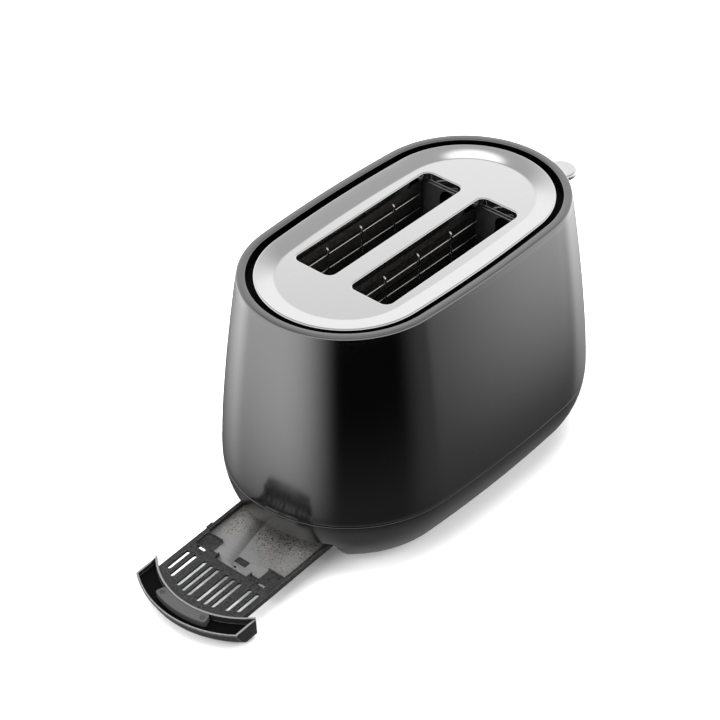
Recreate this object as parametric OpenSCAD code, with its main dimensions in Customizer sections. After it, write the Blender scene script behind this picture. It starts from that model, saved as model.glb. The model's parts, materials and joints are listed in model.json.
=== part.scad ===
// Two-slot pop-up toaster with an oval body and a crumb tray that slides out of one end.
// Frame: millimetres, +Z up, +X towards the lever end, the table at z = 0.
// The origin is below the middle of the whole toaster as it stands, tray out and lever up.

/* [Body] */
// Half the distance between the centres of the two round ends
end_c = 64.48; // [62:0.02:68]
// Distance from the middle of the body to the centre that a long side bows about
side_d = 998.4; // [900:0.1:1100]
// Radius of the round ends at the widest level
belly_r = 93.2; // [88:0.1:98]
// Radius of the round ends at the rim
rim_r = 77; // [75:0.1:82]
// Radius of the round ends at the underside
foot_r = 76.8; // [74:0.1:80]
// Height of the rim above the table
rim_z = 205.7; // [200:0.1:212]
// Height of the widest level
belly_z = 57; // [54:0.5:62]
// Height of the underside above the table
base_z = 12; // [11:0.5:13]
// Height of the seam between the shell and the base
seam_z = 51.6; // [50:0.1:53]
// Thickness of the shell
shell_t = 2; // [1.5:0.1:2.5]

/* [Top] */
// Width of the shell's turned-in rim
rim_w = 6.6; // [5:0.1:8]
// Outer end radius of the top plate
plate_r = 65.4; // [62:0.1:66]
// Height of the top plate's outer edge
plate_z = 204.8; // [203:0.1:205.5]
// Depth of the flat middle of the top plate below its edge
plate_dish = 3.3; // [2:0.1:4]
// Width of the sloped band round the top plate
plate_band = 14.5; // [10:0.5:16]
// Length of a bread slot
slot_l = 145; // [130:1:146]
// Width of a bread slot
slot_w = 35.3; // [30:0.1:36]
// Distance from the middle of the plate to the middle of a slot
slot_y = 26.1; // [25:0.1:27]
// Corner radius of a bread slot
slot_r = 6; // [3:0.5:8]

/* [Crumb tray] */
// How far the tray stands out of its closed place
tray_out = 105; // [60:1:105]
// Slope of the tray's guides, down towards the open end
tray_tilt = 3.5; // [2:0.1:4]
// Half the width of the tray
tray_hw = 40.3; // [36:0.1:41]
// Half the width of the tray's front piece
fascia_hw = 49; // [46:0.5:49]
// Outer end radius of the front piece
fascia_r = 84.5; // [83:0.1:85]

/* [Lever] */
// Travel of the bread carriage
lift = 75; // [60:1:75]
// Height of the top of the lever at rest
lever_z = 168.8; // [165:0.1:169]
// Distance from the middle of the body to the middle of the lever's round tip
lever_x = 178.6; // [175:0.1:182]
// Radius of the lever's round tip
lever_r = 12.4; // [9:0.1:13]

/* [Controls] */
// Height of the browning dial
dial_z = 68; // [67:0.5:69]
// Radius of the browning dial
dial_r = 11.5; // [9:0.5:12]
// Radius of a push button
button_r = 5; // [4:0.1:5.5]
// Travel of a push button
button_travel = 1.5; // [1:0.1:1.6]

/* [Hidden] */
$fn = 64;

// the oval: two end arcs joined by two long arcs that meet them smoothly
side_r0 = norm([end_c, side_d]);

// the crumb tray's own frame starts on its slope, at the mouth of the base
tray_x0 = -135;
tray_z0 = 22;
fascia_back_r = 69.5;
fascia_bottom_r = 77.5;
fascia_c = -end_c - tray_out - tray_x0;
fascia_depth = 13;
mouth_hw = fascia_hw + 0.8;
mouth_z = 32;
tray_front = -(tray_x0 + (fascia_c - fascia_r) * cos(tray_tilt));

// the whole toaster is centred over its own footprint
lever_tip = lever_x + lever_r;
body_x = (tray_front - lever_tip) / 2;

// chamber
frame_x = 76;
sheet = 1.2;
frame_hw = 58;
chamber_top = 198;
pivot_z = 64;
wire_r = 0.8;
pivot_clear = 0.07;
inner_guard_y = 9;
outer_guard_y = 45;

// carriage
rod_x = 97;
rod_y = 12;
rod_r = 3;
rod_clear = 0.06;
rack_z = 138;

// controls
panel_hw = 24;
panel_lo = 55;
panel_hi = 180;
board_x = 130;
board_t = 1.6;
button_y = 15;
button_zs = [100, 118, 136];
gland_y = 36;
gland_z = 31;
cord_r = 3.6;

black = [0.06, 0.06, 0.065];
dark = [0.17, 0.17, 0.18];
steel = [0.72, 0.72, 0.72];
bright = [0.85, 0.85, 0.87];

// ---- the body's shape ----

// End radius of the body at a height: a bowl up to the belly, then a slow taper to the rim
function body_r(z) = z < belly_z
    ? belly_r - (belly_r - foot_r) * pow((belly_z - z) / (belly_z - base_z), 2.25)
    : belly_r - (belly_r - rim_r) * pow((z - belly_z) / (rim_z - belly_z), 1.4);

// Body outline points from height a to height b, moved in by t
function wall(a, b, n, t = 0) = [for (i = [0:n]) let(z = a + (b - a) * i / n) [body_r(z) - t, z]];

// Where the body's +X end is, at a height and a distance from the middle
function end_x(y, z) = end_c + sqrt(pow(body_r(z), 2) - y * y);

module at_body() {
    translate([body_x, 0, 0]) children();
}

// Flat oval, r out from the centre line
module oval(r) {
    for (s = [-1, 1])
        translate([s * end_c, 0]) circle(r, $fn = 128);
    intersection() {
        translate([0, -side_d]) circle(side_r0 + r, $fn = 1440);
        translate([0, side_d]) circle(side_r0 + r, $fn = 1440);
        square([2 * end_c * (1 + r / side_r0), 4 * r], center = true);
    }
}

// The side sector that a long arc fills, and the end sector that an end arc fills
module side_sector(s) {
    translate([0, 0, -50]) linear_extrude(350)
        polygon([[0, -s * side_d], [2 * end_c, s * side_d], [-2 * end_c, s * side_d]]);
}

module end_sector(s) {
    translate([0, 0, -50]) linear_extrude(350)
        polygon([[s * end_c, 0], [s * 2 * end_c, side_d], [s * 1000, side_d],
                 [s * 1000, -side_d], [s * 2 * end_c, -side_d]]);
}

// Carries a radial outline (across = out from the centre line, up = height) round the oval
module oval_sweep() {
    for (s = [-1, 1]) {
        intersection() {
            translate([s * end_c, 0, 0]) rotate_extrude($fn = 128) children();
            end_sector(s);
        }
        intersection() {
            translate([0, -s * side_d, 0]) rotate_extrude($fn = 1440)
                translate([side_r0, 0]) children();
            side_sector(s);
        }
    }
}

module round_rect(w, h, r) {
    square([w - 2 * r, h], center = true);
    square([w, h - 2 * r], center = true);
    for (x = [-1, 1], y = [-1, 1])
        translate([x * (w / 2 - r), y * (h / 2 - r)]) circle(r);
}

module box(lo, hi) {
    translate(lo) cube(hi - lo);
}

// Round bar along X
module bar_x(x0, x1, y, z, r) {
    translate([x0, y, z]) rotate([0, 90, 0]) cylinder(r = r, h = x1 - x0);
}

// ---- housing ----

// The control panel's place in the end of the body, as a bar along X
module panel_window(grow) {
    translate([100, 0, (panel_lo + panel_hi) / 2]) rotate([0, 90, 0])
        linear_extrude(80)
            round_rect(panel_hi - panel_lo + 2 * grow, 2 * (panel_hw + grow), 8 + grow);
}

// Painted steel shell, open above the base, with its top edge turned in
module outer_shell() {
    edge = 1.4;
    rim_in = rim_r - rim_w;
    lip = 6;
    color(dark) at_body() difference() {
        oval_sweep() polygon(concat(
            wall(seam_z + 0.6, rim_z - 2 * edge, 14),
            [for (a = [0:30:90]) [rim_r - edge + edge * cos(a), rim_z - edge + edge * sin(a)]],
            [[rim_in + 0.6, rim_z], [rim_in, rim_z - 0.6], [rim_in, rim_z - lip],
             [rim_in + 0.8, rim_z - lip], [rim_in + 0.8, rim_z - shell_t],
             [rim_r - shell_t - 1, rim_z - shell_t]],
            wall(rim_z - shell_t - 1, seam_z + 0.6, 14, shell_t)));
        panel_window(0.3);
    }
}

// Dark trough between the rim and the top plate
module vent_collar() {
    wall_out = rim_r - rim_w + 3;
    floor_z = rim_z - 14;
    color(black) at_body() oval_sweep() polygon([
        [60, floor_z], [wall_out, floor_z], [wall_out, rim_z - shell_t],
        [wall_out - 1.8, rim_z - shell_t], [wall_out - 1.8, floor_z + 2],
        [62, floor_z + 2], [62, 200], [60, 200]]);
}

// Brushed plate: a sloped band falls from its edge to a flat middle with two slots
module top_plate() {
    t = 1;
    flat_z = plate_z - plate_dish;
    in_r = plate_r - t - plate_band;
    skirt = 6;
    steps = 5;
    band = [for (i = [0:steps]) let(u = i / steps)
        [in_r + plate_band * u, flat_z + plate_dish * (1 - cos(180 * u)) / 2]];
    color(steel) at_body() difference() {
        union() {
            oval_sweep() polygon(concat(
                [[0, flat_z]], band,
                [[plate_r, plate_z], [plate_r, plate_z - skirt], [plate_r - t, plate_z - skirt]],
                [for (i = [steps:-1:0]) band[i] - [0, t]],
                [[0, flat_z - t]]));
            box([-end_c - 2, -4, flat_z - t], [end_c + 2, 4, flat_z]);
        }
        for (s = [-1, 1])
            translate([0, s * slot_y, flat_z - t - 1])
                linear_extrude(t + 2) round_rect(slot_l, slot_w, slot_r);
    }
}

// Dark base: a bowl that carries everything and lets the tray out at one end
module base_housing() {
    t = 2.5;
    lip_r = 68;
    color(black) at_body() difference() {
        oval_sweep() polygon(concat(
            wall(base_z, seam_z, 12),
            [[body_r(seam_z) - shell_t - 0.4, seam_z], [body_r(seam_z) - shell_t - 0.4, seam_z + 5],
             [body_r(seam_z) - shell_t - 2.4, seam_z + 5], [body_r(seam_z) - shell_t - 2.4, seam_z - 3]],
            wall(seam_z - 4, base_z + t, 10, t),
            [[lip_r, base_z + t], [lip_r, base_z]]));
        box([-200, -mouth_hw, 0], [-95, mouth_hw, mouth_z]);
        panel_window(0.3);
        translate([100, gland_y, gland_z]) rotate([0, 90, 0]) cylinder(r = 7, h = 60);
        translate([end_x(gland_y, gland_z) + 2.8, gland_y, gland_z]) rotate([0, 90, 0])
            cylinder(r = 8.8, h = 20);
    }
}

// Steel bottom plate with rows of vents, cut back where the tray's front piece comes home
module bottom_plate() {
    color(steel) at_body() translate([0, 0, base_z + 2.5]) linear_extrude(1.5) difference() {
        oval(73);
        translate([-150, 0]) square([2 * 44, 2 * (fascia_hw + 2)], center = true);
        for (x = [-60:15:60], s = [-1, 1])
            translate([x, s * 22]) round_rect(4, 26, 1.9);
        foot_places() circle(2);
    }
}

module foot_places() {
    for (x = [-84, 84], y = [-48, 48])
        translate([x, y]) children();
}

// Four rubber feet
module feet() {
    top = base_z + 2.5;
    color(black) at_body() foot_places() difference() {
        rotate_extrude() polygon([[0, 0], [7.5, 0], [8.5, 1], [9.5, top], [0, top]]);
        translate([0, 0, -1]) cylinder(r = 3.2, h = 7);
    }
}

// The screw that holds each foot to the bottom plate
module base_screws() {
    color(steel) at_body() foot_places() translate([0, 0, base_z + 2.5]) {
        cylinder(r = 1.9, h = 5);
        translate([0, 0, 1.5]) cylinder(r = 4, h = 2);
    }
}

// Black strip set into the lever end: lever slot, dial hole and button holes
module control_panel() {
    proud = 1;
    back = 3;
    color(black) at_body() difference() {
        union() {
            intersection() {
                translate([end_c, 0, 0]) rotate([0, 0, -30]) rotate_extrude(angle = 60, $fn = 128)
                    polygon(concat(wall(panel_lo - 3, panel_hi + 3, 10, -proud),
                                   wall(panel_hi + 3, panel_lo - 3, 10, back)));
                panel_window(0);
            }
            for (p = [[-20, 62], [20, 62], [20, 150]])
                bar_x(board_x + board_t, end_x(p[0], p[1]) - 1, p[0], p[1], 2.5);
        }
        box([130, -3, lever_z - lift - 12], [180, 3, lever_z + 2]);
        bar_x(130, 180, 0, dial_z, 4.5);
        for (z = button_zs)
            bar_x(130, 180, button_y, z, button_r + 0.3);
    }
}

// Bushing where the mains cord enters
module cord_gland() {
    x = end_x(gland_y, gland_z);
    color(black) at_body() translate([x - 12, gland_y, gland_z]) rotate([0, 90, 0]) difference() {
        union() {
            cylinder(r = 6.8, h = 16);
            translate([0, 0, 15]) cylinder(r = 8.5, h = 3);
        }
        translate([0, 0, -1]) cylinder(r = cord_r, h = 20);
    }
}

// Everything on the tray's slope is drawn level and tipped here
module on_slope() {
    translate([tray_x0, 0, tray_z0]) rotate([0, -tray_tilt, 0]) children();
}

// Two sloping rails under the chamber that carry the tray
module tray_guides() {
    y_in = tray_hw - 3;
    y_out = tray_hw + 2.6;
    x_lo = 23;
    x_hi = 205;
    color(black) at_body() for (s = [-1, 1]) scale_y(s) {
        on_slope() {
            box([x_lo, y_in, -6], [x_hi, y_out, -4]);
            box([x_lo, tray_hw + 0.8, -6], [x_hi, y_out, 4]);
        }
        for (x = [-105, -20, 60])
            box([x, y_in, base_z + 4], [x + 6, y_out, tray_z0 + (x - tray_x0) * sin(tray_tilt) - 5]);
    }
}

module scale_y(s) {
    if (s > 0) children();
    else mirror([0, 1, 0]) children();
}

// ---- chamber ----

// Upright steel end plate: x is its face towards the bread
module end_frame(x, windows) {
    color(steel) at_body() difference() {
        box([x, -frame_hw, base_z + 4], [x + sheet, frame_hw, chamber_top]);
        box([x - 1, -tray_hw - 6, 0], [x + 3, tray_hw + 6, 44]);
        for (y = [-outer_guard_y, -inner_guard_y, inner_guard_y, outer_guard_y])
            bar_x(x - 1, x + 3, y, pivot_z, wire_r + pivot_clear);
        if (windows)
            for (s = [-1, 1]) {
                box([x - 1, s * slot_y - 8, 50], [x + 3, s * slot_y + 8, 180]);
                bar_x(x - 1, x + 3, s * slot_y, 180, 8);
            }
    }
}

module rear_frame() {
    end_frame(-frame_x - sheet, false);
}

module front_frame() {
    end_frame(frame_x, true);
}

// Heat shield along one side of the chamber
module reflector(s) {
    color(steel) at_body() scale_y(s) {
        box([-frame_x, 56, 46], [frame_x, 56.8, chamber_top]);
        box([-frame_x, 56, 46], [frame_x, frame_hw, 46.8]);
    }
}

module left_reflector() {
    reflector(1);
}

module right_reflector() {
    reflector(-1);
}

// Mica board that a heating ribbon is wound on
module heater_board(y) {
    color([0.55, 0.5, 0.42]) at_body()
        box([-frame_x + 0.1, y - 0.5, 60], [frame_x - 0.1, y + 0.5, chamber_top - 1]);
}

heater_y = 50;

module left_heater() {
    heater_board(heater_y);
}

module center_heater() {
    heater_board(0);
}

module right_heater() {
    heater_board(-heater_y);
}

// Flat resistance ribbons on the faces that look at the bread
module heater_windings() {
    color([0.5, 0.45, 0.4]) at_body()
        for (z = [76:13:180], y = [heater_y - 0.9, 0.5, -0.9, -heater_y + 0.5])
            box([-68, y, z], [68, y + 0.4, z + 1.8]);
}

// Wire grid that holds the bread off the heater: y is its plane, s points at the bread
module guard(y, s) {
    color(bright) at_body() {
        bar_x(-frame_x - 4, frame_x + 4, y, pivot_z, wire_r);
        for (z = [84, 105, 126, 148, 171, 183.5])
            bar_x(-66, 66, y, z, wire_r);
        for (x = [-36, 0, 36]) {
            translate([x, y + s * 1.4, pivot_z - 2]) cylinder(r = wire_r, h = 125.5);
            translate([x, y + s * 1.4, pivot_z + 123.5]) rotate([s * 55, 0, 0])
                cylinder(r = wire_r, h = 4);
        }
    }
}

module left_outer_guard() {
    guard(outer_guard_y, -1);
}

module left_inner_guard() {
    guard(inner_guard_y, 1);
}

module right_inner_guard() {
    guard(-inner_guard_y, -1);
}

module right_outer_guard() {
    guard(-outer_guard_y, 1);
}

// ---- carriage and its guides ----

module at_rods() {
    for (s = [-1, 1])
        translate([rod_x, s * rod_y, 0]) children();
}

// Two steel rods that the carriage runs on
module guide_rods() {
    color(bright) at_body() at_rods() translate([0, 0, 22]) cylinder(r = rod_r, h = 172);
}

// Brackets on the end plate that hold the rods at top and bottom
module rod_brackets() {
    color(steel) at_body() for (z = [22, 190]) difference() {
        box([frame_x + sheet, -20, z], [rod_x + 6, 20, z + 3]);
        at_rods() translate([0, 0, z - 1]) cylinder(r = rod_r, h = 5);
    }
}

spring_turns = 9;
spring_r = 4;
spring_wire = 0.5;
spring_lo = 168.6;
spring_hi = 190;

// Ring of a coil's wire at step i of n
function coil_ring(i, n) = let(a = 360 * spring_turns * i / n,
                               z = spring_lo + 0.6 + (spring_hi - spring_lo - 1.2) * i / n)
    [for (k = [0:5]) [(spring_r + spring_wire * cos(60 * k)) * cos(a),
                      (spring_r + spring_wire * cos(60 * k)) * sin(a),
                      z + spring_wire * sin(60 * k)]];

// Coil spring that lifts the carriage
module return_spring() {
    n = spring_turns * 14;
    points = [for (i = [0:n]) each coil_ring(i, n)];
    faces = concat(
        [[0, 1, 2, 3, 4, 5]],
        [for (i = [0:n - 1], k = [0:5])
            [6 * i + k, 6 * (i + 1) + k, 6 * (i + 1) + (k + 1) % 6, 6 * i + (k + 1) % 6]],
        [[for (k = [5:-1:0]) 6 * n + k]]);
    color(bright) at_body() translate([rod_x, 0, 0]) polyhedron(points, faces);
}

magnet_x = 112;
magnet_top = 46;

// Iron core on a foot on the bottom plate
module electromagnet() {
    color(steel) at_body() {
        box([magnet_x - 10, -9, base_z + 4], [magnet_x + 10, 9, base_z + 7]);
        translate([magnet_x, 0, base_z + 7]) cylinder(r = 4, h = magnet_top - base_z - 7);
    }
}

// Copper winding round the magnet's core
module magnet_coil() {
    color([0.72, 0.42, 0.2]) at_body() translate([magnet_x, 0, base_z + 8]) difference() {
        cylinder(r = 9, h = magnet_top - base_z - 12);
        translate([0, 0, -1]) cylinder(r = 4.1, h = 40);
    }
}

// Plate that the two racks hang from, with a sleeve on each rod
module carriage_plate() {
    color(steel) at_body() difference() {
        union() {
            box([88, -32, 126], [90, 32, 160]);
            for (s = [-1, 1])
                box([90, s * rod_y - 3, 126], [rod_x - 4, s * rod_y + 3, 160]);
            at_rods() translate([0, 0, 124]) cylinder(r = 5.5, h = 38);
        }
        at_rods() translate([0, 0, 100]) cylinder(r = rod_r + rod_clear, h = 80);
    }
}

// Rack that one slice stands on, with an arm through the end plate
module bread_rack(y) {
    color(steel) at_body() {
        box([-66, y - 0.7, rack_z - 9], [88, y + 0.7, rack_z - 1]);
        for (x = [-60:15:60])
            box([x - 2, y - 9, rack_z - 1], [x + 2, y + 9, rack_z]);
    }
}

module left_bread_rack() {
    bread_rack(slot_y);
}

module right_bread_rack() {
    bread_rack(-slot_y);
}

// Iron plate under the carriage that the magnet holds down
module armature() {
    z = magnet_top + 0.5 + lift;
    color(steel) at_body() {
        box([90, -5.5, z + 5], [92, 5.5, z + 14]);
        box([90, -5.5, z], [magnet_x + 7, 5.5, z + 2.5]);
        box([90, -5.5, z], [92, 5.5, z + 6]);
    }
}

arm_lo = lever_z - 8;
arm_hi = lever_z - 1;

// Steel arm from the carriage out through the slot
module lever_arm() {
    color(steel) at_body() {
        box([90, -1.5, arm_lo], [lever_x - 6, 1.5, arm_hi - 1]);
        box([90, -1.5, 150], [94, 1.5, arm_lo]);
        box([90, -1.5, arm_hi - 1], [rod_x + 6, 1.5, arm_hi + 0.8]);
    }
}

// Rounded tongue that the finger presses
module lever_knob() {
    t = 4.6;
    neck_x = 159.5;
    color(bright) at_body() difference() {
        translate([0, 0, lever_z - t]) union() {
            translate([lever_x, 0, 0]) rotate_extrude()
                polygon([[0, 0], [lever_r - 1.6, 0], [lever_r - 0.4, 1], [lever_r, 2.3],
                         [lever_r - 0.4, t - 1], [lever_r - 1.4, t], [0, t]]);
            linear_extrude(t)
                polygon([[neck_x, -8.5], [lever_x, -10.8], [lever_x, 10.8], [neck_x, 8.5]]);
            translate([0, 0, -4]) box([neck_x, -4, 0], [neck_x + 12, 4, 5]);
        }
        box([100, -1.5, arm_lo], [lever_x - 6, 1.5, arm_hi - 1]);
    }
}

// ---- controls ----

// Board behind the panel: a low part for the dial and a tall part beside the lever's path
module circuit_board() {
    color([0.1, 0.35, 0.2]) at_body() {
        box([board_x, -26, 52], [board_x + board_t, 26, 82]);
        box([board_x, 6, 81], [board_x + board_t, 26, 155]);
    }
}

switch_h = 3.5;

// One small switch behind each button
module tact_switches() {
    color(dark) at_body() for (z = button_zs)
        translate([board_x + board_t, button_y - 3, z - 3]) cube([switch_h, 6, 6]);
}

pot_x = board_x + board_t;

// Variable resistor that the dial turns
module potentiometer() {
    color(dark) at_body() difference() {
        bar_x(pot_x, pot_x + 8, 0, dial_z, 8);
        bar_x(pot_x + 2, pot_x + 9, 0, dial_z, 3.06);
    }
}

module dial_shaft() {
    color(steel) at_body() bar_x(pot_x + 2.4, 166, 0, dial_z, 3);
}

// Knob with a flat grip bar across it
module browning_dial() {
    x0 = end_x(0, dial_z) + 1.8;
    color(black) at_body() difference() {
        union() {
            translate([x0, 0, dial_z]) rotate([0, 90, 0]) rotate_extrude()
                polygon([[0, 0], [dial_r, 0], [dial_r - 0.5, 5], [dial_r - 1.5, 6], [0, 6]]);
            box([x0 + 5, -2, dial_z - dial_r + 2], [x0 + 11, 2, dial_z + dial_r - 2]);
        }
        bar_x(x0 - 1, 166, 0, dial_z, 3);
    }
}

// Push button with a shoulder behind the panel
module button(z) {
    face = end_x(button_y, z) + 2.6;
    shoulder = end_x(button_y, z) - 5.4;
    color(bright) at_body() {
        bar_x(pot_x + switch_h + button_travel + 0.2, face - 0.8, button_y, z, button_r);
        bar_x(face - 0.8, face, button_y, z, button_r - 0.6);
        bar_x(shoulder - 2, shoulder, button_y, z, button_r + 1);
    }
}

module cancel_button() {
    button(button_zs[0]);
}

module defrost_button() {
    button(button_zs[1]);
}

module reheat_button() {
    button(button_zs[2]);
}

// Terminals where the cord's wires end
module terminal_block() {
    color([0.8, 0.78, 0.7]) at_body() difference() {
        box([98, 25, base_z + 4], [122, 41, base_z + 18]);
        for (x = [104, 116])
            translate([x, 33, base_z + 10]) cylinder(r = 2.5, h = 20);
    }
}

// ---- crumb tray, in its own level frame with the mouth of the base at x = 0 ----

floor_h = -1.6;
rim_h = 1.2;
under_h = -3.4;
grille_x = -64.5;
tray_back = 103;
grille_ys = [4.6, 10.7, 17, 27, 34];
slit_w = 3.6;
grille_t = 2.3;

// Flat outline of the tray's rails and grille, up to the back of the front piece
module tray_outline() {
    intersection() {
        translate([fascia_c - 90, -tray_hw]) square([tray_back - fascia_c + 90, 2 * tray_hw]);
        union() {
            translate([fascia_c, 0]) circle(fascia_back_r - 1.5, $fn = 128);
            translate([fascia_c, -tray_hw]) square([tray_back - fascia_c, 2 * tray_hw]);
        }
    }
}

// Where the steel floor lies: the open middle, stepped back at two corner pockets
module floor_outline(grow) {
    translate([-41.5 - grow, -37.5 - grow]) square([tray_back + 41.5 - 2 + grow, 75 + 2 * grow]);
    translate([-52.5 - grow, -22.5 - grow]) square([20, 45 + 2 * grow]);
    translate([-58 - grow, -15.5 - grow]) square([20, 31 + 2 * grow]);
}

// Long slit of the grille, ending on an arc that follows the front piece
module slit(y) {
    x_end = fascia_c - sqrt(pow(fascia_back_r - 7.5, 2) - y * y);
    translate([x_end + slit_w / 2, y]) circle(slit_w / 2);
    translate([x_end + slit_w / 2, y - slit_w / 2]) square([grille_x - x_end - slit_w, slit_w]);
    translate([grille_x - slit_w / 2, y]) circle(slit_w / 2);
}

// Black frame: two side rails, a grille at the front and small stop nubs
module crumb_tray_frame() {
    color(black) at_body() on_slope() {
        difference() {
            translate([0, 0, under_h]) linear_extrude(rim_h - under_h) tray_outline();
            translate([0, 0, floor_h - 0.8]) linear_extrude(5) floor_outline(0.1);
            translate([0, 0, under_h - 1]) linear_extrude(5)
                translate([-38, -34]) square([tray_back + 34, 68]);
            for (y = grille_ys, s = [-1, 1])
                translate([0, 0, under_h - 1]) linear_extrude(8) slit(s * y);
            for (s = [-1, 1]) {
                box([-58.5, s * 29 - 4, under_h - 1], [-54.5, s * 29 + 4, 4]);
                scale_y(s) box([-56, 16.5, -1], [-42.5, 36.5, 4]);
                scale_y(s) box([grille_x + 4, 23, under_h - 1], [-52.5, 36, floor_h - 0.8]);
            }
            translate([0, 0, under_h - 1]) linear_extrude(rim_h - grille_t - under_h + 1)
                intersection() {
                    translate([fascia_c, 0]) circle(fascia_back_r - 4.5, $fn = 128);
                    translate([grille_x - 40, 3 - tray_hw])
                        square([44, 2 * (tray_hw - 3)]);
                }
        }
        for (s = [-1, 1])
            scale_y(s) box([-40, tray_hw, 0], [-34, tray_hw + 0.6, 1.9]);
    }
}

// Steel floor that catches the crumbs
module crumb_tray_floor() {
    color(steel) at_body() on_slope() difference() {
        translate([0, 0, floor_h - 0.8]) linear_extrude(0.8) floor_outline(0);
        box([-50.4, -7, -5], [-44.6, 4, 2]);
        translate([-53.9, -0.8, -5]) cylinder(r = 1.1, h = 8);
    }
}

// Outline of the front piece from above, between two radii
module fascia_band(r_out, r_in) {
    intersection() {
        difference() {
            translate([fascia_c, 0]) circle(r_out, $fn = 128);
            translate([fascia_c, 0]) circle(r_in, $fn = 128);
        }
        translate([fascia_c - 100, -fascia_hw]) square([100, 2 * fascia_hw]);
    }
}

well_h = -3.2;
lip_h = 0.4;
back_h = 2;

// Curved front piece with a finger well behind its front lip
module tray_fascia() {
    color(black) at_body() on_slope() difference() {
        intersection() {
            translate([fascia_c, 0, 0]) rotate([0, 0, 135]) rotate_extrude(angle = 90, $fn = 128)
                polygon([[fascia_back_r - 1.5, -fascia_depth], [fascia_bottom_r, -fascia_depth],
                         [fascia_bottom_r + 3.4, -9], [fascia_r - 0.9, -3], [fascia_r, lip_h - 0.6],
                         [fascia_r - 0.5, lip_h], [fascia_back_r, lip_h], [fascia_back_r, back_h],
                         [fascia_back_r - 1.5, back_h]]);
            translate([fascia_c - 100, -fascia_hw, -20]) cube([100, 2 * fascia_hw, 30]);
        }
        translate([0, 0, well_h]) linear_extrude(10) intersection() {
            fascia_band(fascia_r - 1.6, fascia_back_r);
            translate([fascia_c - 100, -fascia_hw + 1.6]) square([100, 2 * (fascia_hw - 1.6)]);
        }
    }
}

grip_half = 18.2;
grip_r = 73.9;
grip_w = 4;
grip_corner = 2;

// Grey pad that stands in the finger well, on an arc with rounded corners
module fascia_grip() {
    h = 2 - well_h;
    inner = grip_w - grip_corner;
    turn = grip_half - grip_corner * 180 / PI / grip_r;
    color([0.5, 0.5, 0.5]) at_body() on_slope() translate([fascia_c, 0, well_h]) {
        rotate([0, 0, 180 - turn]) rotate_extrude(angle = 2 * turn, $fn = 128)
            translate([grip_r - grip_w, 0]) square([2 * grip_w, h]);
        rotate([0, 0, 180 - grip_half]) rotate_extrude(angle = 2 * grip_half, $fn = 128)
            translate([grip_r - inner, 0]) square([2 * inner, h]);
        for (s = [-1, 1], t = [-inner, inner])
            rotate([0, 0, 180 + s * turn]) translate([grip_r + t, 0, 0])
                cylinder(r = grip_corner, h = h);
    }
}

outer_shell();
vent_collar();
top_plate();
base_housing();
bottom_plate();
feet();
base_screws();
control_panel();
cord_gland();
tray_guides();
rear_frame();
front_frame();
left_reflector();
right_reflector();
left_heater();
center_heater();
right_heater();
heater_windings();
guide_rods();
rod_brackets();
return_spring();
electromagnet();
magnet_coil();
circuit_board();
tact_switches();
potentiometer();
terminal_block();
carriage_plate();
left_bread_rack();
right_bread_rack();
armature();
lever_arm();
lever_knob();
left_outer_guard();
left_inner_guard();
right_inner_guard();
right_outer_guard();
crumb_tray_frame();
crumb_tray_floor();
tray_fascia();
fascia_grip();
browning_dial();
dial_shaft();
cancel_button();
defrost_button();
reheat_button();
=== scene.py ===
"""Looks for the two-slot pop-up toaster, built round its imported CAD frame.

Metres, +Z up, +X towards the lever end; the crumb tray comes out of the -X end.
"""

import json
import math

import bmesh
import bpy
from mathutils import Matrix, Vector

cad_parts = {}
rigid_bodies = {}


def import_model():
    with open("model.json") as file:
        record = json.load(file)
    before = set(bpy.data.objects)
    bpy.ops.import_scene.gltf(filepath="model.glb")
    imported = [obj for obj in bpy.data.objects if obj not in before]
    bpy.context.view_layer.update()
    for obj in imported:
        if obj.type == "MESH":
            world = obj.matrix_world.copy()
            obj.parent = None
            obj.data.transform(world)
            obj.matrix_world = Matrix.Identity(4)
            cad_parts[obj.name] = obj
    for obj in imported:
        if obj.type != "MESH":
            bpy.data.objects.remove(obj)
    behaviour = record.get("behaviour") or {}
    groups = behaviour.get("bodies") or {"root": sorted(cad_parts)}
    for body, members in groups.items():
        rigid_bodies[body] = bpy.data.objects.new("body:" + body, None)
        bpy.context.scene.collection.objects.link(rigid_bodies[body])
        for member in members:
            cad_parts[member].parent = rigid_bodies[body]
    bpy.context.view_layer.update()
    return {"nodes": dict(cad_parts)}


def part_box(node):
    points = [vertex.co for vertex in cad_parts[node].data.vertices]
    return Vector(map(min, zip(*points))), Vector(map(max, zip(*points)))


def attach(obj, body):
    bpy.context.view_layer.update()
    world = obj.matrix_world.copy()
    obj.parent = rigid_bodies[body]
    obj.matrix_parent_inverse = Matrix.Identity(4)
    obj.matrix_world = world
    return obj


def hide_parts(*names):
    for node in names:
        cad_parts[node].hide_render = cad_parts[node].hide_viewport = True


for leftover in list(bpy.data.objects):
    bpy.data.objects.remove(leftover)
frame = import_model()

MM = 0.001

# ---- the body's shape, as the frame has it ----

END_C = 64.48 * MM          # from the middle of the body to the centre of each round end
SIDE_D = 998.4 * MM         # from the middle to the centre that a long side bows about
SIDE_R0 = math.hypot(END_C, SIDE_D)
SIDE_TURN = math.atan2(END_C, SIDE_D)

base_lo, base_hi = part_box("base_housing")
shell_lo, shell_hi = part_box("outer_shell")
plate_lo, plate_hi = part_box("top_plate")
panel_lo, panel_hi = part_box("control_panel")

MID_X = (base_lo.x + base_hi.x) / 2
BASE_Z = base_lo.z
RIM_Z = shell_hi.z
SEAM_Z = shell_lo.z - 0.6 * MM
BELLY_Z = 57 * MM
BELLY_R = 93.2 * MM
RIM_R = 77 * MM
FOOT_R = 76.8 * MM
SHELL_T = 2 * MM
RIM_W = 6.6 * MM
SKIN = 0.12 * MM            # the true curve is drawn this far inside the frame's facets

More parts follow.
